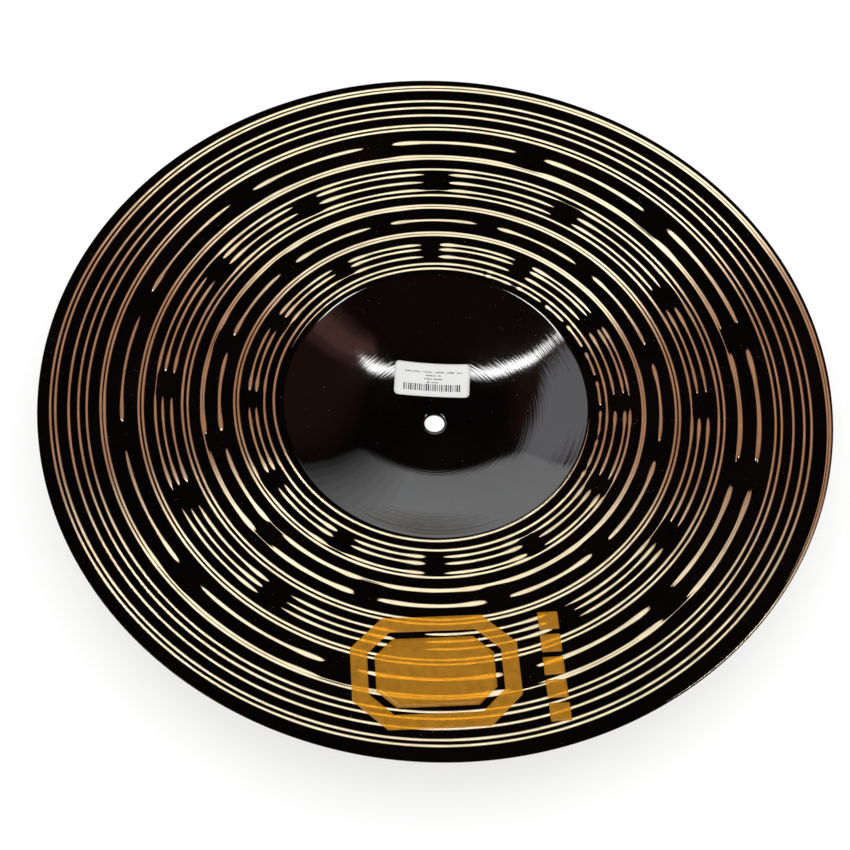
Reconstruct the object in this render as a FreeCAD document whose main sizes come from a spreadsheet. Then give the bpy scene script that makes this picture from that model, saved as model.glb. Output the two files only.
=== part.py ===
"""Crash cymbal, 18 inch, lying bell down: a bronze disc with two printed marks and a paper label.

The disc is one revolved bronze shell.  Z = 0 is the flat crown of the bell, which the disc rests on,
the axis of the centre hole is Z, and the concave side faces +Z.  The printed marks are thin films on
the bow near -Y, and the label lies in the bell on the +Y side of the hole.  All sizes are millimetres.
"""
import FreeCAD, Part
import math
import os

import Sketcher

DIMENSIONS = {
    # the disc's outline, given on its convex side
    "disc_radius": 228.6,
    "hole_radius": 6.0,
    "crown_radius": 13.0,
    "dome_radius": 104.0,
    "dome_reach": 49.0,
    "flank_radius": 180.0,
    "flank_reach": 72.0,
    "bell_radius": 92.0,
    "bell_height": 27.4,
    "shoulder_radius": 6.0,
    "bow_radius": 780.0,
    "rim_height": 48.3,
    "bell_thickness": 1.2,
    "rim_thickness": 0.85,
    "rim_rounding": 0.25,
    # the two printed marks on the bow
    "ink_thickness": 0.05,
    "print_turn": 7.4,
    "emblem_across": 10.5,
    "emblem_along": -174.5,
    "emblem_width": 90.0,
    "emblem_length": 68.0,
    "emblem_corner": 18.0,
    "emblem_border": 9.0,
    "emblem_gap": 4.0,
    "bar_offset": 63.2,
    "bar_width": 11.0,
    "bar_length": 11.0,
    "bar_pitch": 14.0,
    "print_inner": 120.0,
    "print_outer": 224.0,
    # the self-adhesive label in the bell
    "label_across": -3.4,
    "label_along": 29.2,
    "label_turn": 1.7,
    "label_width": 45.8,
    "label_length": 21.5,
    "label_corner": 2.5,
    "adhesive_thickness": 0.05,
    "paper_thickness": 0.1,
    "label_ink_thickness": 0.03,
    "label_inner": 15.0,
    "label_outer": 48.3,
    "barcode_along": -4.75,
    "barcode_length": 4.5,
    "barcode_pitch": 1.35,
    "text_top": 5.4,
    "text_pitch": 2.2,
    "text_height": 1.1,
    # how far the outlines of the films are extended upwards before they are trimmed
    "trim_height": 60.0,
}

SIDE_BARS = 5
# widths of the barcode's bars, as parts of its pitch
BARCODE_WIDTHS = (0.6, 0.3, 0.45, 0.7, 0.35, 0.65, 0.3, 0.55, 0.4, 0.3, 0.7, 0.65, 0.3,
                  0.45, 0.6, 0.3, 0.35, 0.55, 0.3, 0.7, 0.4, 0.65, 0.3, 0.35, 0.7, 0.6)
# each row of the label's dashes: (middle, width) of every dash along the row
TEXT_ROWS = (
    ((-12.0, 9.6), (-3.0, 5.8), (4.4, 5.2), (10.9, 5.2), (16.3, 3.4)),
    ((-1.2, 5.8), (4.0, 2.4)),
    ((-2.3, 5.2), (3.6, 4.8)),
    ((-2.4, 1.8), (1.7, 4.6)),
)

XY = "XY_Plane"
XZ = "XZ_Plane"
START = 1
END = 2
CENTRE = 3
ORIGIN = -1
X_AXIS = -1
Y_AXIS = -2


# --- document helpers -------------------------------------------------------------------------

def make_sheet(doc):
    """Put every driving dimension in the spreadsheet, one row each, with its name as the alias."""
    sheet = doc.addObject("Spreadsheet::Sheet", "dims")
    for row, (name, value) in enumerate(DIMENSIONS.items(), start=1):
        sheet.set(f"A{row}", name)
        sheet.set(f"B{row}", str(value))
        sheet.setAlias(f"B{row}", name)
    doc.recompute()
    return sheet


def make_body(doc, name):
    """Add a body that may hold several separate solids."""
    body = doc.addObject("PartDesign::Body", name)
    body.Label = name
    body.AllowCompound = True
    body.Placement = FreeCAD.Placement()
    return body


def make_sketch(body, name, role):
    """Add a sketch on one of the body's own origin planes."""
    sketch = body.newObject("Sketcher::SketchObject", name)
    plane = next(item for item in body.Origin.OriginFeatures if item.Role == role)
    sketch.AttachmentSupport = [(plane, "")]
    sketch.MapMode = "FlatFace"
    return sketch


def constrain(sketch, kind, *where):
    """Add one geometric constraint."""
    sketch.addConstraint(Sketcher.Constraint(kind, *where))


def drive(sketch, name, expression, kind, *where):
    """Add one named dimension; the last item of where is its starting value."""
    index = sketch.addConstraint(Sketcher.Constraint(kind, *where))
    sketch.renameConstraint(index, name)
    sketch.setExpression(f"Constraints.{name}", expression)


def measure(sketch, name, kind, *where):
    """Add one named reference dimension, which other objects read."""
    index = sketch.addConstraint(Sketcher.Constraint(kind, *where))
    sketch.renameConstraint(index, name)
    sketch.setDriving(index, False)


def vector(point):
    return FreeCAD.Vector(point[0], point[1], 0)


def add_line(sketch, first, second):
    return sketch.addGeometry(Part.LineSegment(vector(first), vector(second)), False)


def add_arc(sketch, centre, first, second):
    """Add the anticlockwise arc about centre from first to second."""
    radius = math.dist(centre, first)
    circle = Part.Circle(vector(centre), FreeCAD.Vector(0, 0, 1), radius)
    start = math.atan2(first[1] - centre[1], first[0] - centre[0])
    end = math.atan2(second[1] - centre[1], second[0] - centre[0])
    return sketch.addGeometry(Part.ArcOfCircle(circle, start, end), False)


def revolve(body, sketch, name):
    """Turn a sketch once round its vertical axis."""
    feature = body.newObject("PartDesign::Revolution", name)
    feature.Profile = sketch
    feature.ReferenceAxis = (sketch, ["V_Axis"])
    feature.Angle = 360.0
    return feature


# --- plane geometry for the sketches' starting positions ------------------------------------------

def upper_meeting(first, first_radius, second, second_radius):
    """The upper of the two points where two circles meet."""
    across, up = second[0] - first[0], second[1] - first[1]
    gap = math.hypot(across, up)
    along = (gap ** 2 + first_radius ** 2 - second_radius ** 2) / (2 * gap)
    aside = math.sqrt(first_radius ** 2 - along ** 2)
    foot = (first[0] + across * along / gap, first[1] + up * along / gap)
    both = [(foot[0] - side * up * aside / gap, foot[1] + side * across * aside / gap) for side in (1, -1)]
    return max(both, key=lambda point: point[1])


def toward(start, target, distance):
    """The point at a distance from start on the way to target."""
    share = distance / math.dist(start, target)
    return (start[0] + (target[0] - start[0]) * share, start[1] + (target[1] - start[1]) * share)


def profile_points(sheet):
    """Corners and arc centres of the disc's section, as (radius, height) pairs."""
    points = {}
    bell_end = (sheet.bell_radius, sheet.bell_height)
    rim = (sheet.disc_radius, sheet.rim_height)
    bow_centre = upper_meeting(bell_end, sheet.bow_radius, rim, sheet.bow_radius)
    shoulder_centre = toward(bell_end, bow_centre, -sheet.shoulder_radius)
    dome_centre = (sheet.crown_radius, sheet.dome_radius)
    lean = math.asin((sheet.dome_reach - sheet.crown_radius) / sheet.dome_radius)
    dome_end = (sheet.dome_reach, sheet.dome_radius * (1 - math.cos(lean)))
    flank_centre = toward(dome_end, dome_centre, sheet.flank_radius)
    lean = math.asin((sheet.flank_reach - flank_centre[0]) / sheet.flank_radius)
    flank_end = (sheet.flank_reach, flank_centre[1] - sheet.flank_radius * math.cos(lean))
    # the wall's arc goes on from the flank and ends on the shoulder, tangent to both
    across, up = flank_end[0] - shoulder_centre[0], flank_end[1] - shoulder_centre[1]
    inward = up * math.cos(lean) - across * math.sin(lean)
    wall_radius = (across ** 2 + up ** 2 - sheet.shoulder_radius ** 2) / (2 * (sheet.shoulder_radius - inward))
    wall_centre = toward(flank_end, flank_centre, wall_radius)
    points["bell_end"] = bell_end
    points["rim"] = rim
    points["bow_centre"] = bow_centre
    points["shoulder_centre"] = shoulder_centre
    points["dome_centre"] = dome_centre
    points["dome_end"] = dome_end
    points["flank_centre"] = flank_centre
    points["flank_end"] = flank_end
    points["wall_centre"] = wall_centre
    points["wall_end"] = toward(wall_centre, shoulder_centre, wall_radius)
    # the concave side: the bell has one thickness, and the bow thins towards the rim
    inner_rim = (sheet.disc_radius, sheet.rim_height + sheet.rim_thickness)
    inner_shoulder = sheet.shoulder_radius + sheet.bell_thickness
    inner_bow_centre = upper_meeting(shoulder_centre, sheet.bow_radius + inner_shoulder,
                                     inner_rim, sheet.bow_radius)
    points["inner_rim"] = inner_rim
    points["inner_bow_centre"] = inner_bow_centre
    points["inner_bell_end"] = toward(shoulder_centre, inner_bow_centre, inner_shoulder)
    points["inner_wall_end"] = toward(wall_centre, shoulder_centre, wall_radius - sheet.bell_thickness)
    points["inner_flank_end"] = toward(flank_centre, flank_end, sheet.flank_radius - sheet.bell_thickness)
    points["inner_dome_end"] = toward(dome_centre, dome_end, sheet.dome_radius - sheet.bell_thickness)
    return points


# --- the bronze disc ----------------------------------------------------------------------------------

def draw_profile(sketch, sheet):
    """Draw the disc's section: bore, crown, dome, flank, wall, shoulder, bow and rim, on both sides."""
    at = profile_points(sheet)
    hole, crown, thick = sheet.hole_radius, sheet.crown_radius, sheet.bell_thickness

    bottom = add_line(sketch, (hole, 0), (crown, 0))
    dome = add_arc(sketch, at["dome_centre"], (crown, 0), at["dome_end"])
    flank = add_arc(sketch, at["flank_centre"], at["dome_end"], at["flank_end"])
    wall = add_arc(sketch, at["wall_centre"], at["flank_end"], at["wall_end"])
    shoulder = add_arc(sketch, at["shoulder_centre"], at["bell_end"], at["wall_end"])
    bow = add_arc(sketch, at["bow_centre"], at["bell_end"], at["rim"])
    edge = add_line(sketch, at["rim"], at["inner_rim"])
    inner_bow = add_arc(sketch, at["inner_bow_centre"], at["inner_bell_end"], at["inner_rim"])
    inner_shoulder = add_arc(sketch, at["shoulder_centre"], at["inner_bell_end"], at["inner_wall_end"])
    inner_wall = add_arc(sketch, at["wall_centre"], at["inner_flank_end"], at["inner_wall_end"])
    inner_flank = add_arc(sketch, at["flank_centre"], at["inner_dome_end"], at["inner_flank_end"])
    inner_dome = add_arc(sketch, at["dome_centre"], (crown, thick), at["inner_dome_end"])
    top = add_line(sketch, (crown, thick), (hole, thick))
    bore = add_line(sketch, (hole, thick), (hole, 0))

    constrain(sketch, "PointOnObject", bottom, START, X_AXIS)
    constrain(sketch, "Horizontal", bottom)
    constrain(sketch, "Coincident", bottom, END, dome, START)
    constrain(sketch, "Vertical", dome, CENTRE, bottom, END)
    constrain(sketch, "Tangent", dome, END, flank, START)
    constrain(sketch, "Tangent", flank, END, wall, START)
    constrain(sketch, "Tangent", wall, END, shoulder, END)
    constrain(sketch, "Tangent", shoulder, START, bow, START)
    constrain(sketch, "Coincident", bow, END, edge, START)
    constrain(sketch, "Vertical", edge)
    constrain(sketch, "Coincident", edge, END, inner_bow, END)
    constrain(sketch, "Equal", bow, inner_bow)
    constrain(sketch, "Tangent", inner_bow, START, inner_shoulder, START)
    constrain(sketch, "Coincident", inner_shoulder, CENTRE, shoulder, CENTRE)
    constrain(sketch, "Tangent", inner_shoulder, END, inner_wall, END)
    constrain(sketch, "Coincident", inner_wall, CENTRE, wall, CENTRE)
    constrain(sketch, "Tangent", inner_wall, START, inner_flank, END)
    constrain(sketch, "Coincident", inner_flank, CENTRE, flank, CENTRE)
    constrain(sketch, "Tangent", inner_flank, START, inner_dome, END)
    constrain(sketch, "Coincident", inner_dome, CENTRE, dome, CENTRE)
    constrain(sketch, "Coincident", inner_dome, START, top, START)
    constrain(sketch, "Horizontal", top)
    constrain(sketch, "Vertical", top, START, bottom, END)
    constrain(sketch, "Coincident", top, END, bore, START)
    constrain(sketch, "Vertical", bore)
    constrain(sketch, "Coincident", bore, END, bottom, START)

    drive(sketch, "hole_radius", "dims.hole_radius", "DistanceX", ORIGIN, START, bottom, START, hole)
    drive(sketch, "crown_radius", "dims.crown_radius", "DistanceX", ORIGIN, START, bottom, END, crown)
    drive(sketch, "dome_radius", "dims.dome_radius", "Radius", dome, sheet.dome_radius)
    drive(sketch, "dome_reach", "dims.dome_reach", "DistanceX", ORIGIN, START, dome, END, sheet.dome_reach)
    drive(sketch, "flank_radius", "dims.flank_radius", "Radius", flank, sheet.flank_radius)
    drive(sketch, "flank_reach", "dims.flank_reach", "DistanceX", ORIGIN, START, flank, END, sheet.flank_reach)
    drive(sketch, "bell_radius", "dims.bell_radius", "DistanceX", ORIGIN, START, bow, START, sheet.bell_radius)
    drive(sketch, "bell_height", "dims.bell_height", "DistanceY", ORIGIN, START, bow, START, sheet.bell_height)
    drive(sketch, "shoulder_radius", "dims.shoulder_radius", "Radius", shoulder, sheet.shoulder_radius)
    drive(sketch, "bow_radius", "dims.bow_radius", "Radius", bow, sheet.bow_radius)
    drive(sketch, "disc_radius", "dims.disc_radius", "DistanceX", ORIGIN, START, bow, END, sheet.disc_radius)
    drive(sketch, "rim_height", "dims.rim_height", "DistanceY", ORIGIN, START, bow, END, sheet.rim_height)
    drive(sketch, "bell_thickness", "dims.bell_thickness", "DistanceY", bore, END, bore, START, thick)
    drive(sketch, "rim_thickness", "dims.rim_thickness", "DistanceY", edge, START, edge, END,
          sheet.rim_thickness)

    measure(sketch, "inner_bow_centre_across", "DistanceX", ORIGIN, START, inner_bow, CENTRE,
            at["inner_bow_centre"][0])
    measure(sketch, "inner_bow_centre_up", "DistanceY", ORIGIN, START, inner_bow, CENTRE,
            at["inner_bow_centre"][1])
    measure(sketch, "dome_centre_up", "DistanceY", ORIGIN, START, dome, CENTRE, at["dome_centre"][1])
    measure(sketch, "inner_dome_radius", "Radius", inner_dome, at["dome_centre"][1] - thick)


def rim_edges(shape, radius):
    """Names of the sharp circular edges at the disc's rim."""
    names = []
    for number, edge in enumerate(shape.Edges, start=1):
        if isinstance(edge.Curve, Part.Circle) and abs(edge.Curve.Radius - radius) < 0.001:
            names.append(f"Edge{number}")
    return names


def make_disc(doc, sheet):
    """The bronze disc with its rounded rim."""
    body = make_body(doc, "cymbal_disc")
    sketch = make_sketch(body, "disc_profile", XZ)
    draw_profile(sketch, sheet)
    doc.recompute()
    turned = revolve(body, sketch, "disc_revolution")
    doc.recompute()
    rounding = body.newObject("PartDesign::Fillet", "rim_fillet")
    rounding.Base = (turned, rim_edges(turned.Shape, sheet.disc_radius))
    rounding.setExpression("Radius", "dims.rim_rounding")
    doc.recompute()
    return body


# --- films: a revolved band on the disc's concave side, trimmed to an outline ----------------------------

def make_band(doc, name, centre, radius, depth, inner, outer):
    """Revolve a thin band that lies on an arc; centre, radius, depth and both limits are expressions."""
    body = make_body(doc, name)
    sketch = make_sketch(body, name + "_section", XZ)
    across, up, reach, thick, low, high = [
        float(body.evalExpression(text)) for text in (*centre, radius, depth, inner, outer)]

    def on_arc(size, x):
        return (x, up - math.sqrt(size ** 2 - (x - across) ** 2))

    lower = add_arc(sketch, (across, up), on_arc(reach, low), on_arc(reach, high))
    upper = add_arc(sketch, (across, up), on_arc(reach - thick, low), on_arc(reach - thick, high))
    inside = add_line(sketch, on_arc(reach, low), on_arc(reach - thick, low))
    outside = add_line(sketch, on_arc(reach, high), on_arc(reach - thick, high))
    constrain(sketch, "Coincident", lower, CENTRE, upper, CENTRE)
    for line, end in ((inside, START), (outside, END)):
        constrain(sketch, "Coincident", line, START, lower, end)
        constrain(sketch, "Coincident", line, END, upper, end)
        constrain(sketch, "Vertical", line)
    drive(sketch, "centre_across", centre[0], "DistanceX", ORIGIN, START, lower, CENTRE, across)
    drive(sketch, "centre_up", centre[1], "DistanceY", ORIGIN, START, lower, CENTRE, up)
    drive(sketch, "lower_radius", radius, "Radius", lower, reach)
    drive(sketch, "upper_radius", f"{radius} - {depth}", "Radius", upper, reach - thick)
    drive(sketch, "inner_limit", inner, "DistanceX", ORIGIN, START, inside, START, low)
    drive(sketch, "outer_limit", outer, "DistanceX", ORIGIN, START, outside, START, high)
    revolve(body, sketch, name + "_revolution")
    return body


def make_outline(doc, name, across, along, turn):
    """Start a body and its sketch, whose frame is moved to a mark's middle and turned with it."""
    body = make_body(doc, name)
    sketch = make_sketch(body, name + "_sketch", XY)
    sketch.AttachmentOffset = FreeCAD.Placement(FreeCAD.Vector(), FreeCAD.Rotation(FreeCAD.Vector(0, 0, 1), 1))
    sketch.setExpression("AttachmentOffset.Base.x", across)
    sketch.setExpression("AttachmentOffset.Base.y", along)
    sketch.setExpression("AttachmentOffset.Rotation.Angle", turn)
    return body, sketch


def join_ends(sketch, lines):
    """Close a loop of lines."""
    for first, second in zip(lines, lines[1:] + lines[:1]):
        constrain(sketch, "Coincident", first, END, second, START)


def draw_box(sketch, name, left, bottom, width, height):
    """Draw an upright rectangle; each size is an expression."""
    x, y, w, h = [float(sketch.evalExpression(text)) for text in (left, bottom, width, height)]
    corners = [(x, y), (x + w, y), (x + w, y + h), (x, y + h)]
    lines = [add_line(sketch, first, second) for first, second in zip(corners, corners[1:] + corners[:1])]
    join_ends(sketch, lines)
    for line, kind in zip(lines, ("Horizontal", "Vertical", "Horizontal", "Vertical")):
        constrain(sketch, kind, line)
    drive(sketch, name + "_left", left, "DistanceX", ORIGIN, START, lines[0], START, x)
    drive(sketch, name + "_bottom", bottom, "DistanceY", ORIGIN, START, lines[0], START, y)
    drive(sketch, name + "_width", width, "DistanceX", lines[0], START, lines[0], END, w)
    drive(sketch, name + "_height", height, "DistanceY", lines[1], START, lines[1], END, h)


def draw_octagon(sketch, name, inset):
    """Draw the emblem's outline moved inwards by the expression inset."""
    half_width = f"dims.emblem_width / 2 - ({inset})"
    half_length = f"dims.emblem_length / 2 - ({inset})"
    corner = f"dims.emblem_corner - (2 - sqrt(2)) * ({inset})"
    w, h, c = [float(sketch.evalExpression(text)) for text in (half_width, half_length, corner)]
    points = [(c - w, -h), (w - c, -h), (w, c - h), (w, h - c), (w - c, h), (c - w, h), (-w, h - c), (-w, c - h)]
    lines = [add_line(sketch, first, second) for first, second in zip(points, points[1:] + points[:1])]
    join_ends(sketch, lines)
    bottom, right, top, left = lines[0::2]
    constrain(sketch, "Symmetric", bottom, START, bottom, END, Y_AXIS)
    constrain(sketch, "Symmetric", right, START, right, END, X_AXIS)
    for line, opposite in ((bottom, top), (right, left)):
        for end in (START, END):
            constrain(sketch, "Symmetric", line, end, opposite, end, ORIGIN, START)
    drive(sketch, name + "_flat", f"{half_width} - ({corner})", "DistanceX", ORIGIN, START, bottom, END, w - c)
    drive(sketch, name + "_length", half_length, "DistanceY", bottom, END, ORIGIN, START, h)
    drive(sketch, name + "_width", half_width, "DistanceX", ORIGIN, START, right, START, w)
    drive(sketch, name + "_side", f"{half_length} - ({corner})", "DistanceY", right, START, ORIGIN, START, h - c)


def pad(body, sketch):
    """Extend an outline straight up, past every film that it trims."""
    feature = body.newObject("PartDesign::Pad", body.Name + "_pad")
    feature.Profile = sketch
    feature.setExpression("Length", "dims.trim_height")
    return feature


def make_film(doc, name, band, outline):
    """Keep the stretch of a band that lies inside an outline."""
    film = doc.addObject("Part::Common", name)
    film.Label = name
    film.Base = band
    film.Tool = outline
    film.Placement = FreeCAD.Placement()
    return film


def make_printed_marks(doc):
    """The emblem and the column of blocks beside it, both printed on the concave side of the bow."""
    band = make_band(
        doc, "ink_band",
        ("disc_profile.Constraints.inner_bow_centre_across", "disc_profile.Constraints.inner_bow_centre_up"),
        "dims.bow_radius * 1 mm", "dims.ink_thickness * 1 mm", "dims.print_inner", "dims.print_outer")
    place = ("dims.emblem_across", "dims.emblem_along", "dims.print_turn * 1 deg")

    emblem, sketch = make_outline(doc, "emblem_outline", *place)
    draw_octagon(sketch, "plate", "0")
    draw_octagon(sketch, "window", "dims.emblem_border")
    draw_octagon(sketch, "centre", "dims.emblem_border + dims.emblem_gap")
    pad(emblem, sketch)

    bars, sketch = make_outline(doc, "side_bars_outline", *place)
    for row in range(SIDE_BARS):
        middle = row - (SIDE_BARS - 1) / 2
        draw_box(sketch, f"block{row}", "dims.bar_offset - dims.bar_width / 2",
                 f"{middle} * dims.bar_pitch - dims.bar_length / 2", "dims.bar_width", "dims.bar_length")
    pad(bars, sketch)

    return [make_film(doc, "printed_emblem", band, emblem),
            make_film(doc, "printed_side_bars", band, bars)]


def upright_edges(shape):
    """Names of the straight edges that run along Z."""
    names = []
    for number, edge in enumerate(shape.Edges, start=1):
        if isinstance(edge.Curve, Part.Line) and abs(abs(edge.Curve.Direction.z) - 1) < 0.001:
            names.append(f"Edge{number}")
    return names


def make_label(doc):
    """The label's adhesive, its paper and what is printed on the paper."""
    across = "disc_profile.Constraints.crown_radius"
    up = "disc_profile.Constraints.dome_centre_up"
    surface = "disc_profile.Constraints.inner_dome_radius"
    paper_surface = surface + " - dims.adhesive_thickness * 1 mm"
    ink_surface = paper_surface + " - dims.paper_thickness * 1 mm"
    limits = ("dims.label_inner", "dims.label_outer")
    adhesive_band = make_band(doc, "adhesive_band", (across, up), surface,
                              "dims.adhesive_thickness * 1 mm", *limits)
    paper_band = make_band(doc, "paper_band", (across, up), paper_surface,
                           "dims.paper_thickness * 1 mm", *limits)
    ink_band = make_band(doc, "label_ink_band", (across, up), ink_surface,
                         "dims.label_ink_thickness * 1 mm", *limits)
    place = ("dims.label_across", "dims.label_along", "dims.label_turn * 1 deg")

    blank, sketch = make_outline(doc, "label_outline", *place)
    draw_box(sketch, "label", "-dims.label_width / 2", "-dims.label_length / 2",
             "dims.label_width", "dims.label_length")
    block = pad(blank, sketch)
    doc.recompute()
    corners = blank.newObject("PartDesign::Fillet", "label_corners")
    corners.Base = (block, upright_edges(block.Shape))
    corners.setExpression("Radius", "dims.label_corner")

    barcode, sketch = make_outline(doc, "barcode_outline", *place)
    for number, share in enumerate(BARCODE_WIDTHS):
        middle = number - (len(BARCODE_WIDTHS) - 1) / 2
        draw_box(sketch, f"bar{number}", f"({middle - share / 2:.3f}) * dims.barcode_pitch",
                 "dims.barcode_along - dims.barcode_length / 2",
                 f"{share} * dims.barcode_pitch", "dims.barcode_length")
    pad(barcode, sketch)

    text, sketch = make_outline(doc, "text_outline", *place)
    for row, dashes in enumerate(TEXT_ROWS):
        for column, (middle, width) in enumerate(dashes):
            draw_box(sketch, f"dash{row}_{column}", f"{middle - width / 2:.2f} * 1 mm",
                     f"dims.text_top - {row} * dims.text_pitch - dims.text_height / 2",
                     f"{width} * 1 mm", "dims.text_height")
    pad(text, sketch)

    return [make_film(doc, "label_adhesive", adhesive_band, blank),
            make_film(doc, "label_paper", paper_band, blank),
            make_film(doc, "label_barcode", ink_band, barcode),
            make_film(doc, "label_text_lines", ink_band, text)]


# --- checks and files -------------------------------------------------------------------------------------

def check(doc, pieces):
    """Stop if any object failed to rebuild or any piece has no valid solid."""
    for item in doc.Objects:
        if "Invalid" in item.State or "Error" in item.State:
            raise RuntimeError(f"{item.Name} is {item.State}")
    for piece in pieces:
        if piece.Shape.isNull() or not piece.Shape.isValid() or not piece.Shape.Solids:
            raise RuntimeError(f"{piece.Label} has no valid solid")


def write(pieces):
    """Write each piece to its own STEP file and print its size."""
    os.makedirs("parts", exist_ok=True)
    for piece in pieces:
        piece.Shape.exportStep(f"parts/{piece.Label}.step")
        box = piece.Shape.BoundBox
        print(f"{piece.Label}: {len(piece.Shape.Solids)} solids, {piece.Shape.Volume:.2f} mm3, "
              f"z {box.ZMin:.2f} to {box.ZMax:.2f}")


def main():
    doc = FreeCAD.newDocument("crash_cymbal")
    sheet = make_sheet(doc)
    pieces = [make_disc(doc, sheet)]
    pieces += make_printed_marks(doc)
    pieces += make_label(doc)
    doc.recompute()
    check(doc, pieces)
    write(pieces)


main()
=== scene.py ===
"""The looks of the crash cymbal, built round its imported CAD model.

All lengths are metres in the CAD frame: +Z is the concave side, the cymbal lies on its bell's crown at
Z = 0 and the printed badge is towards -Y.  Angles round the disc, called turn below, are in degrees and
grow clockwise seen from above, from +X towards -Y, because the lathe's passes run outwards that way.
"""
import math

import bpy
import numpy as np
from mathutils import Matrix, Vector

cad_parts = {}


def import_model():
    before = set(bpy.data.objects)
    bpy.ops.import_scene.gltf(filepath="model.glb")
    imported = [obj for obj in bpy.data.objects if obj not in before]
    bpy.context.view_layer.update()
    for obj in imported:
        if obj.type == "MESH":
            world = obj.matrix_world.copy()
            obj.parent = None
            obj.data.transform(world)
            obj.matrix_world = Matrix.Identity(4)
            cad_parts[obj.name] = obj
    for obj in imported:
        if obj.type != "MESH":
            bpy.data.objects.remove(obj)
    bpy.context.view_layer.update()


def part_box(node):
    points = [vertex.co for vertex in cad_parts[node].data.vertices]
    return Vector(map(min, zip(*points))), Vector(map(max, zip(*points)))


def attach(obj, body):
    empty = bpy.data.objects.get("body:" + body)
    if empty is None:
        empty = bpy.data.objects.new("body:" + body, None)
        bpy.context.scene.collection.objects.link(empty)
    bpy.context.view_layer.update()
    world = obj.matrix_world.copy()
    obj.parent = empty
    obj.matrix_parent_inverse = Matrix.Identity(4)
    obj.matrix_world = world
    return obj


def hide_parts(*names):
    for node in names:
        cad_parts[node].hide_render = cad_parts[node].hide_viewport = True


MM = 0.001

# --- the disc's section, as the CAD model has it ------------------------------------------------------
HOLE_RADIUS = 6.0 * MM
CROWN_RADIUS = 13.0 * MM
DOME_RADIUS = 104.0 * MM
DOME_REACH = 49.0 * MM
FLANK_RADIUS = 180.0 * MM
FLANK_REACH = 72.0 * MM
BELL_RADIUS = 92.0 * MM
BELL_HEIGHT = 27.4 * MM
SHOULDER_RADIUS = 6.0 * MM
BOW_RADIUS = 780.0 * MM
BELL_THICKNESS = 1.2 * MM
RIM_THICKNESS = 0.85 * MM
RIM_ROUNDING = 0.25 * MM

LATHED = ("lathe_lines_fine", "lathe_lines_coarse", "back_lathe_lines_fine", "back_lathe_lines_coarse")

# --- the hammer marks: rings of dents, each as (ring radius, reach either way, dents, first dent, how far
# --- off its place a dent may be, seed for that, swing of the whole ring, turn where the swing is greatest)
HAMMER_RINGS = (
    (183.0 * MM, 6.9 * MM, 12, 14.3, 1.1, 3, 1.6, 238),
    (157.0 * MM, 6.4 * MM, 12, 28.9, 1.6, 4, 1.6, 75),
    (130.6 * MM, 5.6 * MM, 12, 11.9, 1.0, 5, 0.6, 75),
    (108.3 * MM, 6.2 * MM, 12, 25.8, 0.4, 6, 1.2, 50),
)
# the small dents round the bell's edge, and the turns between which they are
EDGE_DENTS = (96.0 * MM, 1.5 * MM, 29, 10.9, 0.5, 7, 0.0, 0)
EDGE_DENTS_SPAN = (-76.0, 28.0)
HAMMER_DEPTH = 0.12 * MM

# --- the lathe's two passes: (start radius, feed per turn, growth, late growth, first and last turn) -----
INNER_FACE_PASSES = (
    ("lathe_lines_fine", (96.7, 8.55, 0.042, 0.0008), -0.46, 14.16),
    ("lathe_lines_coarse", (90.27, 10.27, 0.023, 0.005), 0.0, 12.09),
)
LINE_WIDTH = 1.7 * MM
LINE_CROWN = 0.04 * MM
LINE_ROOT = 0.05 * MM
LINE_STEP = 0.5

DISC_STEPS = 480


# --- section geometry ------------------------------------------------------------------------------------

def upper_meeting(first, first_radius, second, second_radius):
    """The upper of the two points where two circles meet."""
    across, up = second[0] - first[0], second[1] - first[1]
    gap = math.hypot(across, up)
    along = (gap ** 2 + first_radius ** 2 - second_radius ** 2) / (2 * gap)
    aside = math.sqrt(first_radius ** 2 - along ** 2)
    foot = (first[0] + across * along / gap, first[1] + up * along / gap)
    both = [(foot[0] - side * up * aside / gap, foot[1] + side * across * aside / gap) for side in (1, -1)]
    return max(both, key=lambda point: point[1])


def toward(start, target, distance):
    """The point at a distance from start on the way to target."""
    share = distance / math.dist(start, target)
    return (start[0] + (target[0] - start[0]) * share, start[1] + (target[1] - start[1]) * share)


class Face:
    """One side of the disc, as height over radius: a flat crown and then arcs out to the rim."""

    def __init__(self, rim, depth, arcs):
        self.rim = rim
        self.depth = depth
        self.arcs = arcs

    def height(self, radius):
        """Height of the smooth surface at each radius."""
        radius = np.asarray(radius, float)
        height = np.full(radius.shape, self.depth)
        for start, centre, size, side in self.arcs:
            aside = np.clip(radius - centre[0], -abs(size), abs(size))
            height = np.where(radius >= start, centre[1] + side * np.sqrt(size ** 2 - aside ** 2), height)
        return height

    def stations(self):
        """Radii of the mesh's rings, closest together round the shoulder."""
        starts = [arc[0] for arc in self.arcs] + [self.rim - RIM_ROUNDING]
        runs = [np.linspace(HOLE_RADIUS, CROWN_RADIUS, 4)[:-1]]
        for first, last, steps in zip(starts, starts[1:], (14, 10, 8, 9, 58)):
            runs.append(np.linspace(first, last, steps + 1)[:-1])
        return np.concatenate(runs + [starts[-1:]])


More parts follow.
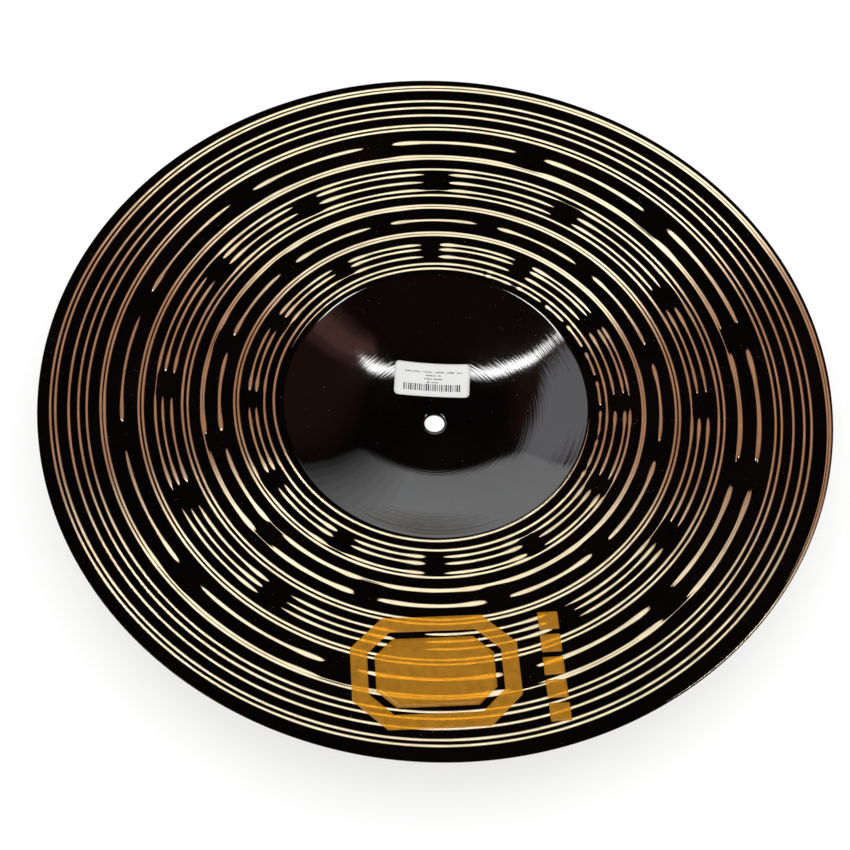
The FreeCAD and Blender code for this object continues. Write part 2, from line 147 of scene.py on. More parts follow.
def make_faces(rim, top):
    """The convex and the concave side, worked out as the CAD sketch solves them."""
    outer_rim = (rim, top - RIM_THICKNESS)
    bell_end = (BELL_RADIUS, BELL_HEIGHT)
    bow_centre = upper_meeting(bell_end, BOW_RADIUS, outer_rim, BOW_RADIUS)
    shoulder_centre = toward(bell_end, bow_centre, -SHOULDER_RADIUS)
    inner_bow_centre = upper_meeting(shoulder_centre, BOW_RADIUS + SHOULDER_RADIUS + BELL_THICKNESS,
                                     (rim, top), BOW_RADIUS)
    dome_centre = (CROWN_RADIUS, DOME_RADIUS)
    lean = math.asin((DOME_REACH - CROWN_RADIUS) / DOME_RADIUS)
    dome_end = (DOME_REACH, DOME_RADIUS * (1 - math.cos(lean)))
    flank_centre = toward(dome_end, dome_centre, FLANK_RADIUS)
    lean = math.asin((FLANK_REACH - flank_centre[0]) / FLANK_RADIUS)
    flank_end = (FLANK_REACH, flank_centre[1] - FLANK_RADIUS * math.cos(lean))
    across, up = flank_end[0] - shoulder_centre[0], flank_end[1] - shoulder_centre[1]
    inward = up * math.cos(lean) - across * math.sin(lean)
    wall_radius = (across ** 2 + up ** 2 - SHOULDER_RADIUS ** 2) / (2 * (SHOULDER_RADIUS - inward))
    wall_centre = toward(flank_end, flank_centre, wall_radius)

    faces = []
    for depth in (0.0, BELL_THICKNESS):
        centre = inner_bow_centre if depth else bow_centre
        shoulder = SHOULDER_RADIUS + depth
        faces.append(Face(rim, depth, [
            (CROWN_RADIUS, dome_centre, DOME_RADIUS - depth, -1),
            (toward(dome_centre, dome_end, DOME_RADIUS - depth)[0], flank_centre, FLANK_RADIUS - depth, -1),
            (toward(flank_centre, flank_end, FLANK_RADIUS - depth)[0], wall_centre, wall_radius - depth, -1),
            (toward(wall_centre, shoulder_centre, wall_radius - depth)[0], shoulder_centre, shoulder, 1),
            (toward(shoulder_centre, centre, shoulder)[0], centre, BOW_RADIUS, -1),
        ]))
    return faces


# --- hammer marks ------------------------------------------------------------------------------------------

def bump(value, width, power=2):
    """A smooth bump of height 1 at zero."""
    return np.exp(-np.abs(value / width) ** power)


class Hammering:
    """Rings of dents: how far any place on the disc is from the nearest dent, and how deep it lies."""

    def __init__(self):
        self.scatter = {}
        for ring in HAMMER_RINGS + (EDGE_DENTS,):
            source = np.random.RandomState(ring[5])
            turns = ring[3] + np.arange(ring[2]) * 360 / ring[2]
            self.scatter[ring] = (source.uniform(-ring[4], ring[4], ring[2])
                                  + ring[6] * np.cos(np.radians(turns - ring[7])))

    def past_dent(self, ring, turn):
        """Degrees from the nearest dent of a ring, positive past it."""
        pitch = 360 / ring[2]
        number = np.round((turn - ring[3]) / pitch).astype(int)
        return turn - ring[3] - number * pitch - self.scatter[ring][number % ring[2]]

    def height(self, radius, turn):
        """Height of the hammered surface above the smooth one."""
        total = np.zeros(np.broadcast(radius, turn).shape)
        for ring in HAMMER_RINGS:
            near = bump(radius - ring[0], ring[1] * 1.25)
            past = self.past_dent(ring, turn)
            total += near * (0.35 * bump(past - 6.5, 4.0) - bump(past, 4.2))
        return HAMMER_DEPTH * total

    def line_share(self, radius, turn):
        """How much of its full width a lathe line has where it passes: 0 in a dent, over 1 beside one."""
        share = np.ones(np.broadcast(radius, turn).shape)
        around = (turn - EDGE_DENTS_SPAN[0]) % 360 + EDGE_DENTS_SPAN[0]
        for ring in HAMMER_RINGS + (EDGE_DENTS,):
            present = 1.0 if ring is not EDGE_DENTS else np.where(around < EDGE_DENTS_SPAN[1], 0.75, 0.0)
            span = 12 / ring[2]
            past = self.past_dent(ring, turn) / span
            inside = 1 / (1 + np.exp((np.abs(radius - ring[0]) - ring[1]) / (0.45 * MM)))
            beside = bump(radius - ring[0], ring[1] + 2.2 * MM, 4)
            hollow = np.where(past < 0, bump(past, 3.5, 2.6), bump(past, 2.7, 4))
            ridge = 0.6 * bump(past - 5.6, 2.3) + 0.24 * bump(past + 8.0, 3.0) - 0.12 * bump(past - 12.5, 3.5)
            share += present * (beside * ridge - 1.9 * inside * hollow)
        return np.clip(share, 0, None)


# --- mesh helpers --------------------------------------------------------------------------------------------

def place(radius, turn, height):
    """Points from radius, turn and height."""
    angle = np.radians(turn)
    return np.stack([radius * np.cos(angle), -radius * np.sin(angle), height], axis=-1)


def make_piece(name, points, faces, material, across=None):
    """A smooth-shaded mesh piece that rides on the cymbal, without the points that no face uses."""
    points = points.reshape(-1, 3)
    used = np.zeros(len(points), bool)
    used[[corner for face in faces for corner in face]] = True
    renumber = (np.cumsum(used) - 1).tolist()
    mesh = bpy.data.meshes.new(name)
    mesh.from_pydata(points[used].tolist(), [], [[renumber[corner] for corner in face] for face in faces])
    if across is not None:
        layer = mesh.attributes.new("across", "FLOAT", "POINT")
        layer.data.foreach_set("value", across[used])
    mesh.polygons.foreach_set("use_smooth", [True] * len(mesh.polygons))
    mesh.materials.append(material)
    mesh.update()
    piece = bpy.data.objects.new(name, mesh)
    bpy.context.scene.collection.objects.link(piece)
    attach(piece, "root")
    return piece


def loop_faces(rows, columns, flip=False):
    """Quads of a grid that is closed both ways."""
    row, column = np.meshgrid(np.arange(rows), np.arange(columns), indexing="ij")
    next_row, next_column = (row + 1) % rows, (column + 1) % columns
    quads = np.stack([row * columns + column, next_row * columns + column,
                      next_row * columns + next_column, row * columns + next_column], axis=-1).reshape(-1, 4)
    return (quads[:, ::-1] if flip else quads).tolist()


# --- the disc ---------------------------------------------------------------------------------------------------

def disc_section(convex, concave):
    """The disc's outline, once round: convex side outwards, rim, concave side inwards and bore."""
    low, high = convex.stations(), concave.stations()
    bottom = np.stack([low, convex.height(low)], axis=1)
    top = np.stack([high, concave.height(high)], axis=1)[::-1]
    lip = []
    edge = convex.rim - RIM_ROUNDING
    low_edge, high_edge = bottom[-1, 1] + RIM_ROUNDING, top[0, 1] - RIM_ROUNDING
    for angle in np.radians((-60, -30, 0)):
        lip.append((edge + RIM_ROUNDING * math.cos(angle), low_edge + RIM_ROUNDING * math.sin(angle)))
    for angle in np.radians((0, 30, 60)):
        lip.append((edge + RIM_ROUNDING * math.cos(angle), high_edge + RIM_ROUNDING * math.sin(angle)))
    return np.concatenate([bottom, np.array(lip), top])


def make_disc(convex, concave, hammering, material):
    """The bronze disc with its hammered surface, as one closed mesh."""
    section = disc_section(convex, concave)
    turns = np.arange(DISC_STEPS) * 360 / DISC_STEPS
    radius = np.repeat(section[:, :1], DISC_STEPS, axis=1)
    turn = np.repeat(turns[None, :], len(section), axis=0)
    height = section[:, 1:] + hammering.height(radius, turn)
    points = place(radius, turn, height)
    piece = make_piece("coated_disc", points, loop_faces(len(section), DISC_STEPS), material)
    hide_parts("cymbal_disc")
    return piece


# --- the lathe lines ------------------------------------------------------------------------------------------------

def smooth_noise(source, count, spacing):
    """A gentle random wave with one seeded value every spacing samples."""
    knots = source.uniform(-1, 1, count // spacing + 3)
    position = np.arange(count) / spacing
    index = position.astype(int)
    share = position - index
    share = share * share * (3 - 2 * share)
    return knots[index] * (1 - share) + knots[index + 1] * share


def make_lines(name, course, first, last, face, hammering, side, seed, material):
    """One pass of the lathe: a shallow strip along a spiral, as wide as the tool could reach."""
    source = np.random.RandomState(seed)
    count = int((last - first) * 360 / LINE_STEP)
    turns = first + (last - first) * np.arange(count) / (count - 1)
    start, feed, growth, late = course
    middle = (start + feed * turns + growth * turns ** 2 + late * turns ** 3) * MM
    middle = np.minimum(middle, face.rim - 0.9 * MM)
    turn = turns * 360
    wander = 1 + 0.07 * smooth_noise(source, count, 22) + 0.06 * smooth_noise(source, count, 9)
    ends = np.clip((turns - first) * 9, 0, 1) * np.clip((last - turns) * 9, 0, 1)
    spread = 1 - 0.09 * np.cos(np.radians(2 * turn))
    half = LINE_WIDTH / 2 * wander * spread * ends
    inward = half * hammering.line_share(middle - 0.6 * half, turn)
    outward = half * hammering.line_share(middle + 0.6 * half, turn)

    rows = []
    profile = ((-1.0, 0.0), (-0.6, 0.75), (-0.2, 1.0), (0.2, 1.0), (0.6, 0.75), (1.0, 0.0))
    for share, lift in profile:
        radius = middle + share * (inward if share < 0 else outward)
        width = np.clip((inward + outward) / LINE_WIDTH, 0, 1)
        height = face.height(radius) + hammering.height(radius, turn) + side * lift * LINE_CROWN * width
        rows.append(place(radius, turn, height))
    radius = middle + (outward - inward) / 2
    under = face.height(radius) + hammering.height(radius, turn) - side * LINE_ROOT
    rows.append(place(radius, turn, under))
    points = np.stack(rows, axis=1)

    ring = points.shape[1]
    keep = (inward + outward) > 0.12 * MM
    faces = []
    for step in range(count - 1):
        if not (keep[step] and keep[step + 1]):
            continue
        a, b = step * ring, (step + 1) * ring
        for corner in range(ring):
            after = (corner + 1) % ring
            faces.append((a + corner, b + corner, b + after, a + after))
        if step == 0 or not keep[step - 1]:
            faces.append(tuple(a + corner for corner in range(ring)))
        if step == count - 2 or not keep[step + 2]:
            faces.append(tuple(b + corner for corner in reversed(range(ring))))
    if side < 0:
        faces = [tuple(reversed(face_corners)) for face_corners in faces]
    across = np.tile([share for share, _ in profile] + [0.0], count)
    return make_piece(name, points.reshape(-1, 3), faces, material, across)


# --- printed marks and the label ------------------------------------------------------------------------------------

PRINT_TURN = 7.4
EMBLEM_MIDDLE = (10.5 * MM, -174.5 * MM)
EMBLEM_SIZE = (90.0 * MM, 68.0 * MM)
EMBLEM_CORNER = 18.0 * MM
EMBLEM_BORDER = 9.0 * MM
EMBLEM_GAP = 4.0 * MM
BAR_OFFSET = 63.2 * MM
BAR_SIZE = 11.0 * MM
BAR_PITCH = 14.0 * MM
SIDE_BARS = 5
LABEL_MIDDLE = (-3.4 * MM, 29.2 * MM)
LABEL_TURN = 1.7
LABEL_SIZE = (45.8 * MM, 21.5 * MM)
LABEL_CORNER = 2.5 * MM
BARCODE_ALONG = -4.75 * MM
BARCODE_LENGTH = 4.5 * MM
BARCODE_PITCH = 1.35 * MM
BARCODE_WIDTHS = (0.6, 0.3, 0.45, 0.7, 0.35, 0.65, 0.3, 0.55, 0.4, 0.3, 0.7, 0.65, 0.3,
                  0.45, 0.6, 0.3, 0.35, 0.55, 0.3, 0.7, 0.4, 0.65, 0.3, 0.35, 0.7, 0.6)
TEXT_TOP = 5.4 * MM
TEXT_PITCH = 2.2 * MM
TEXT_HEIGHT = 1.1 * MM
TEXT_ROWS = (
    ((-12.0, 9.6), (-3.0, 5.8), (4.4, 5.2), (10.9, 5.2), (16.3, 3.4)),
    ((-1.2, 5.8), (4.0, 2.4)),
    ((-2.3, 5.2), (3.6, 4.8)),
    ((-2.4, 1.8), (1.7, 4.6)),
)
TICK_PITCH = 0.8 * MM


def rounded_box(middle, size, corner, spacing):
    """Outline of an upright box with rounded corners, anticlockwise."""
    half_width, half_length = size[0] / 2, size[1] / 2
    corner = min(corner, half_width, half_length)
    points = []
    for quarter, (sx, sy) in enumerate(((1, 1), (-1, 1), (-1, -1), (1, -1))):
        for angle in np.radians(90 * quarter + np.linspace(0, 90, 5)):
            points.append((sx * (half_width - corner) + corner * math.cos(angle),
                           sy * (half_length - corner) + corner * math.sin(angle)))
    return divide(np.array(points), spacing) + np.array(middle)


def octagon(inset, spacing):
    """The emblem's outline moved inwards, anticlockwise."""
    w, h = EMBLEM_SIZE[0] / 2 - inset, EMBLEM_SIZE[1] / 2 - inset
    c = EMBLEM_CORNER - (2 - math.sqrt(2)) * inset
    points = [(c - w, -h), (w - c, -h), (w, c - h), (w, h - c), (w - c, h), (c - w, h), (-w, h - c), (-w, c - h)]
    return divide(np.array(points), spacing)


def divide(points, spacing):
    """The same loop with points no farther apart than spacing."""
    dense = []
    for first, second in zip(points, np.roll(points, -1, axis=0)):
        count = max(1, math.ceil(np.linalg.norm(second - first) / spacing))
        dense += [first + (second - first) * step / count for step in range(count)]
    return np.array(dense)


def resample(points, count):
    """The same loop as count points, evenly spaced by length."""
    closed = np.vstack([points, points[:1]])
    length = np.concatenate([[0], np.cumsum(np.linalg.norm(np.diff(closed, axis=0), axis=1))])
    at = np.arange(count) / count * length[-1]
    return np.stack([np.interp(at, length, closed[:, axis]) for axis in (0, 1)], axis=1)


def text_ticks():
    """The label's rows of small print, as short upright ticks of uneven height that spell nothing."""
    source = np.random.RandomState(5)
    ticks = []
    for row, dashes in enumerate(TEXT_ROWS):
        for middle, width in dashes:
            count = max(2, round(width * MM / TICK_PITCH))
            pitch = width * MM / count
            for number in range(count):
                x = middle * MM + (number - (count - 1) / 2) * pitch
                height = TEXT_HEIGHT * source.uniform(0.55, 1.0)
                y = TEXT_TOP - row * TEXT_PITCH - (TEXT_HEIGHT - height) / 2
                ticks.append((rounded_box((x, y), (pitch * source.uniform(0.45, 0.75), height),
                                          0.1 * MM, 0.8 * MM), None))
    return ticks


def make_film(name, patches, origin, turn, surface, low, high, rows, material):
    """A thin film on the disc; each patch is an outer loop and an inner loop, or None where it is whole."""
    points, faces = [], []
    angle = math.radians(turn)
    for outer, inner in patches:
        whole = inner is None
        centre = outer.mean(axis=0)
        inner = np.repeat(centre[None, :], len(outer), axis=0) if whole else inner
        count = len(outer)
        shares = np.linspace(0, 1, rows + 1)[:-1] if whole else np.linspace(0, 1, rows + 1)
        grid = np.concatenate([outer + (inner - outer) * share for share in shares])
        flat = np.vstack([grid, centre[None, :]]) if whole else grid
        x = origin[0] + flat[:, 0] * math.cos(angle) - flat[:, 1] * math.sin(angle)
        y = origin[1] + flat[:, 0] * math.sin(angle) + flat[:, 1] * math.cos(angle)
        ground = surface(np.hypot(x, y), np.degrees(np.arctan2(-y, x)))
        base, size = len(points), len(flat)
        for lift in (high, low):
            points += np.stack([x, y, ground + lift], axis=1).tolist()
        levels = len(shares)
        for layer, flip in ((0, False), (size, True)):
            sheet = []
            for level in range(levels - 1):
                for step in range(count):
                    after = (step + 1) % count
                    sheet.append((level * count + step, level * count + after,
                                  (level + 1) * count + after, (level + 1) * count + step))
            if whole:
                sheet += [((levels - 1) * count + step, (levels - 1) * count + (step + 1) % count, size - 1)
                          for step in range(count)]
            for face in sheet:
                face = [base + layer + corner for corner in face]
                faces.append(tuple(reversed(face)) if flip else tuple(face))
        edges = [(0, False)] if whole else [(0, False), (levels - 1, True)]
        for level, flip in edges:
            for step in range(count):
                first, second = base + level * count + step, base + level * count + (step + 1) % count
                face = (second, first, first + size, second + size)
                faces.append(tuple(reversed(face)) if flip else face)
    return make_piece(name, np.array(points), faces, material)


# --- shader helpers ---------------------------------------------------------------------------------------------------

class Shader:
    """A material's node tree, with short calls for the nodes used here."""

    def __init__(self, name, kind="Material"):
        self.owner = (bpy.data.worlds if kind == "World" else bpy.data.materials).new(name)
        self.owner.use_nodes = True
        self.tree = self.owner.node_tree
        self.tree.nodes.clear()
        self.output = self.add("ShaderNodeOutput" + kind)

    def add(self, kind, inputs=None, **settings):
        node = self.tree.nodes.new(kind)
        for key, value in settings.items():
            setattr(node, key, value)
        for key, value in (inputs or {}).items():
            self.set(node, key, value)
        return node

    def set(self, node, key, value):
        socket = node.inputs[key]
        if isinstance(value, bpy.types.NodeSocket):
            self.tree.links.new(value, socket)
        else:
            socket.default_value = value

    def math(self, operation, first, second=0.0, third=0.0, clamp=False):
        node = self.add("ShaderNodeMath", operation=operation, use_clamp=clamp)
        for index, value in enumerate((first, second, third)):
            self.set(node, index, value)
        return node.outputs[0]

    def ramp(self, value, low, high, out_low=0.0, out_high=1.0, smooth=True):
        node = self.add("ShaderNodeMapRange", interpolation_type="SMOOTHSTEP" if smooth else "LINEAR")
        for key, number in (("Value", value), ("From Min", low), ("From Max", high),
                            ("To Min", out_low), ("To Max", out_high)):
            self.set(node, key, number)
        return node.outputs["Result"]

    def noise(self, scale, vector=None, detail=3.0, roughness=0.5, distortion=0.0):
        node = self.add("ShaderNodeTexNoise", {"Scale": scale, "Detail": detail, "Roughness": roughness,
                                               "Distortion": distortion})
        if vector is not None:
            self.set(node, "Vector", vector)
        return node.outputs["Fac"]

    def mix(self, share, first, second):
        node = self.add("ShaderNodeMix", data_type="RGBA")
        self.set(node, 0, share)
        self.set(node, 6, first)
        self.set(node, 7, second)
        return node.outputs[2]

    def place(self):
        """Object coordinates, the distance from the disc's axis and the turn round it as a vector."""
        point = self.add("ShaderNodeTexCoord").outputs["Object"]
        split = self.add("ShaderNodeSeparateXYZ", {0: point})
        x, y = split.outputs[0], split.outputs[1]
        radius = self.math("SQRT", self.math("ADD", self.math("MULTIPLY", x, x), self.math("MULTIPLY", y, y)))
        angle = self.math("ARCTAN2", y, x)
        return point, radius, angle

    def vector(self, x, y, z):
        node = self.add("ShaderNodeCombineXYZ")
        for index, value in enumerate((x, y, z)):
            self.set(node, index, value)
        return node.outputs[0]

    def bump(self, height, distance, strength=1.0, normal=None):
        node = self.add("ShaderNodeBump", {"Height": height, "Distance": distance, "Strength": strength})
        if normal is not None:
            self.set(node, "Normal", normal)
        return node.outputs["Normal"]

    def finish(self, shader):
        self.tree.links.new(shader, self.output.inputs["Surface"])
        return self.owner


def make_coat():
    """The dark lacquered coat of the disc."""
    shader = Shader("dark_coat")
    point, radius, angle = shader.place()
    rings = shader.noise(1.0, shader.vector(shader.math("MULTIPLY", radius, 650.0), 0.0, 0.0), 3.0, 0.6)
    cloud = shader.noise(16.0, point, 4.0, 0.6)
    speck = shader.noise(900.0, point, 1.0, 0.4)
    dust = shader.ramp(speck, 0.76, 0.82)
    dark = shader.mix(shader.ramp(cloud, 0.35, 0.7), (0.0006, 0.0003, 0.0002, 1), (0.0018, 0.0007, 0.0005, 1))
    colour = shader.mix(shader.math("MULTIPLY", dust, 0.10), dark, (0.55, 0.5, 0.42, 1))
    rough = shader.math("ADD", shader.ramp(cloud, 0.3, 0.75, 0.045, 0.085),
                        shader.math("MULTIPLY", dust, 0.25))
    in_bell = shader.ramp(radius, 0.092, 0.089, 0.12, 1.0)
    bump = shader.bump(shader.math("MULTIPLY", rings, in_bell), 0.00006, 1.0)
    body = shader.add("ShaderNodeBsdfPrincipled",
                      {"Base Color": colour, "Roughness": rough, "IOR": 2.0, "Normal": bump})
    return shader.finish(body.outputs[0])


def make_bare_bronze():
    """Lathe-cut bronze: fine grooves round the disc stretch its highlights in and out."""
    shader = Shader("bare_bronze")
    point, radius, angle = shader.place()
    grooves = shader.noise(1.0, shader.vector(shader.math("MULTIPLY", radius, 9000.0),
                                              shader.math("MULTIPLY", angle, 3.0), 0.0), 2.0, 0.6)
    cloud = shader.noise(38.0, point, 3.0, 0.55)
    tone = shader.math("ADD", shader.math("MULTIPLY", grooves, 0.5), shader.math("MULTIPLY", cloud, 0.5))
    clean = shader.mix(shader.ramp(tone, 0.35, 0.65), (0.84, 0.70, 0.47, 1), (0.95, 0.83, 0.60, 1))
    across = shader.math("ABSOLUTE", shader.add("ShaderNodeAttribute", attribute_name="across").outputs["Fac"])
    edge = shader.math("ADD", across, shader.ramp(grooves, 0.2, 0.8, -0.12, 0.12))
    colour = shader.mix(shader.ramp(edge, 0.35, 1.02), clean, (0.05, 0.025, 0.012, 1))
    rough = shader.ramp(tone, 0.3, 0.7, 0.36, 0.44)
    bump = shader.bump(grooves, 0.00002, 0.3)
    tangent = shader.add("ShaderNodeTangent", direction_type="RADIAL", axis="Z").outputs[0]
    body = shader.add("ShaderNodeBsdfPrincipled",
                      {"Base Color": colour, "Roughness": rough, "Metallic": 1.0, "Anisotropic": 1.0,
                       "Anisotropic Rotation": 0.25, "Normal": bump, "Tangent": tangent})
    return shader.finish(body.outputs[0])


def make_amber_ink():
    """Printed ink: amber, with the metal showing through it."""
    shader = Shader("amber_print")
    point, _, _ = shader.place()
    mottle = shader.noise(240.0, point, 2.0, 0.5)
    colour = shader.mix(shader.ramp(mottle, 0.2, 0.8), (0.82, 0.350, 0.009, 1), (0.93, 0.400, 0.014, 1))
    bump = shader.bump(mottle, 0.00001, 0.5)
    film = shader.add("ShaderNodeBsdfPrincipled", {"Base Color": colour, "Roughness": 0.28, "IOR": 1.5,
                                                   "Normal": bump})
    clear = shader.add("ShaderNodeBsdfTransparent", {"Color": (1.0, 0.74, 0.18, 1)})
    cover = shader.ramp(mottle, 0.2, 0.8, 0.33, 0.38)
    front = shader.add("ShaderNodeMixShader", {0: cover, 1: clear.outputs[0], 2: film.outputs[0]})
    back = shader.add("ShaderNodeBsdfTransparent", {"Color": (1, 1, 1, 1)})
    behind = shader.add("ShaderNodeNewGeometry").outputs["Backfacing"]
    mixed = shader.add("ShaderNodeMixShader", {0: behind, 1: front.outputs[0], 2: back.outputs[0]})
    return shader.finish(mixed.outputs[0])


def make_paper():
    """Coated label paper."""
    shader = Shader("label_paper_stock")
    point, _, _ = shader.place()
    fibre = shader.noise(1500.0, point, 4.0, 0.65)
    cloud = shader.noise(90.0, point, 2.0, 0.5)
    tone = shader.math("ADD", shader.math("MULTIPLY", fibre, 0.4), shader.math("MULTIPLY", cloud, 0.6))
    colour = shader.mix(tone, (0.62, 0.62, 0.60, 1), (0.74, 0.74, 0.72, 1))
    bump = shader.bump(fibre, 0.00003, 0.4)
    body = shader.add("ShaderNodeBsdfPrincipled", {"Base Color": colour, "Roughness": 0.55, "IOR": 1.45,
                                                   "Normal": bump})
    return shader.finish(body.outputs[0])


def make_adhesive():
    """The slightly yellow adhesive under the label's edge."""
    shader = Shader("label_glue")
    point, _, _ = shader.place()
    mottle = shader.noise(600.0, point, 3.0, 0.6)
    colour = shader.mix(mottle, (0.50, 0.48, 0.42, 1), (0.62, 0.60, 0.53, 1))
    body = shader.add("ShaderNodeBsdfPrincipled",
                      {"Base Color": colour, "Roughness": shader.ramp(mottle, 0.2, 0.8, 0.3, 0.5), "IOR": 1.45})
    return shader.finish(body.outputs[0])


def make_label_ink(name, dark, light):
    """Thermally printed ink, a little uneven."""
    shader = Shader(name)
    point, _, _ = shader.place()
    mottle = shader.noise(2500.0, point, 2.0, 0.6)
    colour = shader.mix(shader.ramp(mottle, 0.4, 0.75), (dark, dark, dark * 1.1, 1),
                        (light, light, light * 1.05, 1))
    body = shader.add("ShaderNodeBsdfPrincipled",
                      {"Base Color": colour, "Roughness": shader.ramp(mottle, 0.3, 0.7, 0.4, 0.6), "IOR": 1.45})
    return shader.finish(body.outputs[0])


# --- stage ---------------------------------------------------------------------------------------------------------------

def make_floor():
    """A plain pale floor that is only there from above."""
    shader = Shader("pale_floor")
    point = shader.add("ShaderNodeTexCoord").outputs["Object"]
    grain = shader.noise(3.0, point, 3.0, 0.5)
    colour = shader.mix(grain, (0.40, 0.40, 0.40, 1), (0.44, 0.44, 0.44, 1))
    body = shader.add("ShaderNodeBsdfPrincipled", {"Base Color": colour, "Roughness": 1.0, "Specular IOR Level": 0.0,
                                                   "Emission Color": (1, 1, 1, 1), "Emission Strength": 0.58})
    clear = shader.add("ShaderNodeBsdfTransparent")
    back = shader.add("ShaderNodeNewGeometry").outputs["Backfacing"]
    mixed = shader.add("ShaderNodeMixShader", {0: back, 1: body.outputs[0], 2: clear.outputs[0]})
    material = shader.finish(mixed.outputs[0])
    mesh = bpy.data.meshes.new("floor")
    half = 15.0
    mesh.from_pydata([(-half, -half, 0), (half, -half, 0), (half, half, 0), (-half, half, 0)], [], [(0, 1, 2, 3)])
    mesh.materials.append(material)
    floor = bpy.data.objects.new("floor", mesh)
    bpy.context.scene.collection.objects.link(floor)


def make_light(name, place, target, size, radiance, colour=(1, 1, 1), only=None, diffuse=True, glossy=True):
    """A rectangular light; radiance is how bright its face looks, and only is what it lights."""
    data = bpy.data.lights.new(name, "AREA")
    data.shape = "RECTANGLE"
    data.size, data.size_y = size
    data.energy = radiance * math.pi * size[0] * size[1]
    data.color = colour
    light = bpy.data.objects.new(name, data)
    bpy.context.scene.collection.objects.link(light)
    light.matrix_world = aimed(place, target)
    light.visible_glossy = glossy
    light.visible_diffuse = diffuse
    light.visible_camera = False
    if only:
        light.light_linking.receiver_collection = bpy.data.collections.new(name + "_lit")
        for piece in only:
            light.light_linking.receiver_collection.objects.link(piece)
    return light


def make_strip(name, left, right, radiance, colour, only=None):
    """A stretch of the strip light overhead, between two places along it."""
    middle = (left + right) / 2
    place = (middle, 0.19 + 0.06 * middle, 1.5)
    light = make_light(name, place, (place[0], place[1] + 0.001, 0), (right - left, 0.13), radiance, colour, only,
                       diffuse=False)
    light.matrix_world = Matrix.Translation(place) @ Matrix.Rotation(math.atan(0.06), 4, "Z")


def aimed(place, target, roll=0.0):
    """A transform at place that looks at target, its X axis level and then turned by roll."""
    forward = (Vector(target) - Vector(place)).normalized()
    level = forward.cross(Vector((0, 0, 1))).normalized()
    right = math.cos(roll) * level + math.sin(roll) * level.cross(forward)
    turn = Matrix((right, right.cross(forward), -forward)).transposed().to_4x4()
    return Matrix.Translation(Vector(place)) @ turn


def make_world():
    """The room: plain pale grey to all but glossy rays, which see it dark above and on the far side, dim and warm to
    the sides and towards -Y.
    """
    shader = Shader("room", "World")
    direction = shader.add("ShaderNodeTexCoord").outputs["Generated"]
    split = shader.add("ShaderNodeSeparateXYZ", {0: direction})
    x, y, z = split.outputs
    side = shader.ramp(shader.math("ABSOLUTE", x), 0.42, 0.62)
    behind = shader.ramp(y, 0.06, -0.12)
    room = shader.mix(side, (0.005, 0.004, 0.004, 1), (0.07, 0.028, 0.019, 1))
    room = shader.mix(behind, room, (0.022, 0.010, 0.007, 1))
    seen = shader.add("ShaderNodeLightPath").outputs["Is Glossy Ray"]
    plain = shader.add("ShaderNodeBackground", {"Color": (0.95, 0.95, 0.95, 1), "Strength": 1.0})
    dark = shader.add("ShaderNodeBackground", {"Color": room, "Strength": 1.0})
    mixed = shader.add("ShaderNodeMixShader", {0: seen, 1: plain.outputs[0], 2: dark.outputs[0]})
    bpy.context.scene.world = shader.finish(mixed.outputs[0])


def make_camera():
    """The camera at the photograph's viewing angle."""
    data = bpy.data.cameras.new("camera")
    data.lens, data.sensor_width = 72.0, 36.0
    data.clip_start, data.clip_end = 0.01, 100.0
    camera = bpy.data.objects.new("camera", data)
    bpy.context.scene.collection.objects.link(camera)
    camera.matrix_world = aimed((0.0, -0.51994, 0.88253), (-0.00531, -0.02988, 0.04915), math.radians(3.76))
    bpy.context.scene.camera = camera


# --- the whole scene -------------------------------------------------------------------------------------------------------

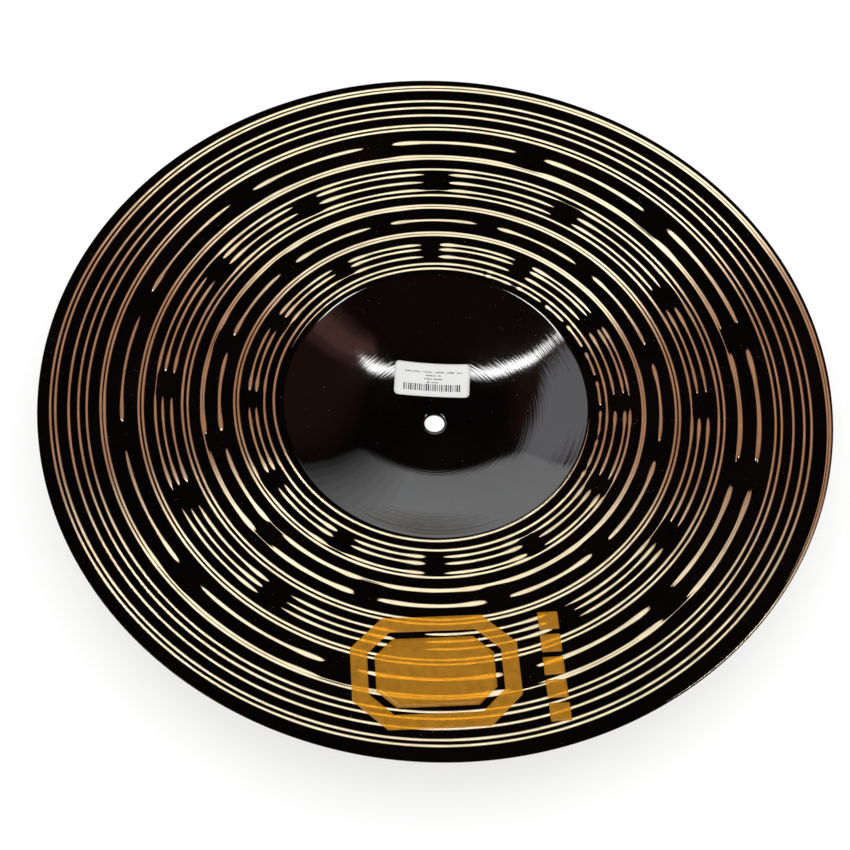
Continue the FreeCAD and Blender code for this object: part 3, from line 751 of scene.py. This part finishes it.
def main():
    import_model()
    low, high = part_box("cymbal_disc")
    convex, concave = make_faces(high.x, high.z)
    hammering = Hammering()

    def bow(radius, turn):
        return concave.height(radius) + hammering.height(radius, turn)

    def bell(radius, turn):
        return concave.height(radius)

    disc = make_disc(convex, concave, hammering, make_coat())
    bronze = make_bare_bronze()
    for number, (name, course, first, last) in enumerate(INNER_FACE_PASSES):
        make_lines(name, course, first, last, concave, hammering, 1, 20 + number, bronze)
        make_lines("back_" + name, course, first, last, convex, hammering, -1, 40 + number, bronze)

    amber = make_amber_ink()
    plate, window, centre = (octagon(inset, 1.5 * MM) for inset in (0.0, EMBLEM_BORDER, EMBLEM_BORDER + EMBLEM_GAP))
    count = len(plate)
    emblem = make_film("emblem_print", [(resample(plate, count), resample(window, count)), (centre, None)],
                       EMBLEM_MIDDLE, PRINT_TURN, bow, 0.05 * MM, 0.07 * MM, 10, amber)
    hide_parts("printed_emblem")
    blocks = [(rounded_box((BAR_OFFSET, (row - (SIDE_BARS - 1) / 2) * BAR_PITCH), (BAR_SIZE, BAR_SIZE),
                           0.5 * MM, 1.2 * MM), None) for row in range(SIDE_BARS)]
    bars = make_film("side_bars_print", blocks, EMBLEM_MIDDLE, PRINT_TURN, bow, 0.05 * MM, 0.07 * MM, 4,
                     amber)
    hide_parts("printed_side_bars")

    label = [(rounded_box((0, 0), LABEL_SIZE, LABEL_CORNER, 1.0 * MM), None)]
    glue = make_film("label_glue", label, LABEL_MIDDLE, LABEL_TURN, bell, -0.01 * MM, 0.06 * MM, 10, make_adhesive())
    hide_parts("label_adhesive")
    paper = make_film("label_sheet", label, LABEL_MIDDLE, LABEL_TURN, bell, 0.05 * MM, 0.15 * MM, 10, make_paper())
    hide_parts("label_paper")
    ink = make_label_ink("barcode_print", 0.02, 0.08)
    codes = []
    for number, share in enumerate(BARCODE_WIDTHS):
        middle = (number - (len(BARCODE_WIDTHS) - 1) / 2) * BARCODE_PITCH
        codes.append((rounded_box((middle, BARCODE_ALONG), (share * BARCODE_PITCH, BARCODE_LENGTH),
                                  0.03 * MM, 0.8 * MM), None))
    barcode = make_film("label_bars", codes, LABEL_MIDDLE, LABEL_TURN, bell, 0.14 * MM, 0.17 * MM, 2, ink)
    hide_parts("label_barcode")
    rows = make_film("label_rows", text_ticks(), LABEL_MIDDLE, LABEL_TURN, bell, 0.14 * MM, 0.17 * MM, 1,
                     make_label_ink("small_print", 0.05, 0.15))
    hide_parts("label_text_lines")

    make_floor()
    make_world()
    cut = [bpy.data.objects[name] for name in LATHED]
    other = [thing for thing in bpy.context.scene.objects if thing.type == "MESH" and thing != disc]
    bright, wall = (1.0, 1.0, 1.0), (0.97, 0.98, 1.0)
    make_strip("strip_for_disc_left", -1.245, -0.30, 9.5, bright, [disc])
    make_strip("strip_for_disc_right", 0.40, 0.9, 9.5, bright, [disc])
    make_strip("strip_middle", -1.245, 0.3, 30.0, bright, other)
    make_strip("strip_middle_right", 0.3, 0.9, 23.0, bright, other)
    make_strip("strip_left", -2.4, -1.245, 10.0, bright, cut)
    make_strip("strip_right", 0.9, 2.4, 6.0, bright, cut)
    make_light("overhead_soft", (0, -0.3, 2.6), (0, 0.01, 0), (3.0, 3.0), 0.9, glossy=False)
    for step in range(9):
        right = 1.62 - 0.15 * step
        make_light("far_wall", (right / 2 - 1.0, 3.0 - 0.01 * step, 1.05), (right / 2 - 1.0, 0, 1.05),
                   (right + 2.0, 2.1), 0.12, wall, [disc], False)
    make_light("left_wall", (-2.0, 1.35, 1.7), (0, 1.35, 1.7), (3.3, 0.9), 0.85, (0.90, 0.93, 1.0), [disc], False)
    for width, radiance in ((0.7, 0.14), (0.35, 0.24)):
        make_light("warm_wall", (1.7, 0.15, 2.0 + width / 10), (0, 0, 0), (width, 1.2), radiance, (1.0, 0.45, 0.38),
                   [disc], False)
    for side in (-1, 1):
        make_light("side_glow", (side * 2.2, 1.4, 1.2), (0, 1.4, 1.2), (3.6, 2.4), 1.5, (1.0, 0.52, 0.37), cut,
                   False)
    make_camera()
    bpy.context.scene.view_settings.view_transform = "Standard"
    bpy.context.scene.view_settings.look = "None"


main()
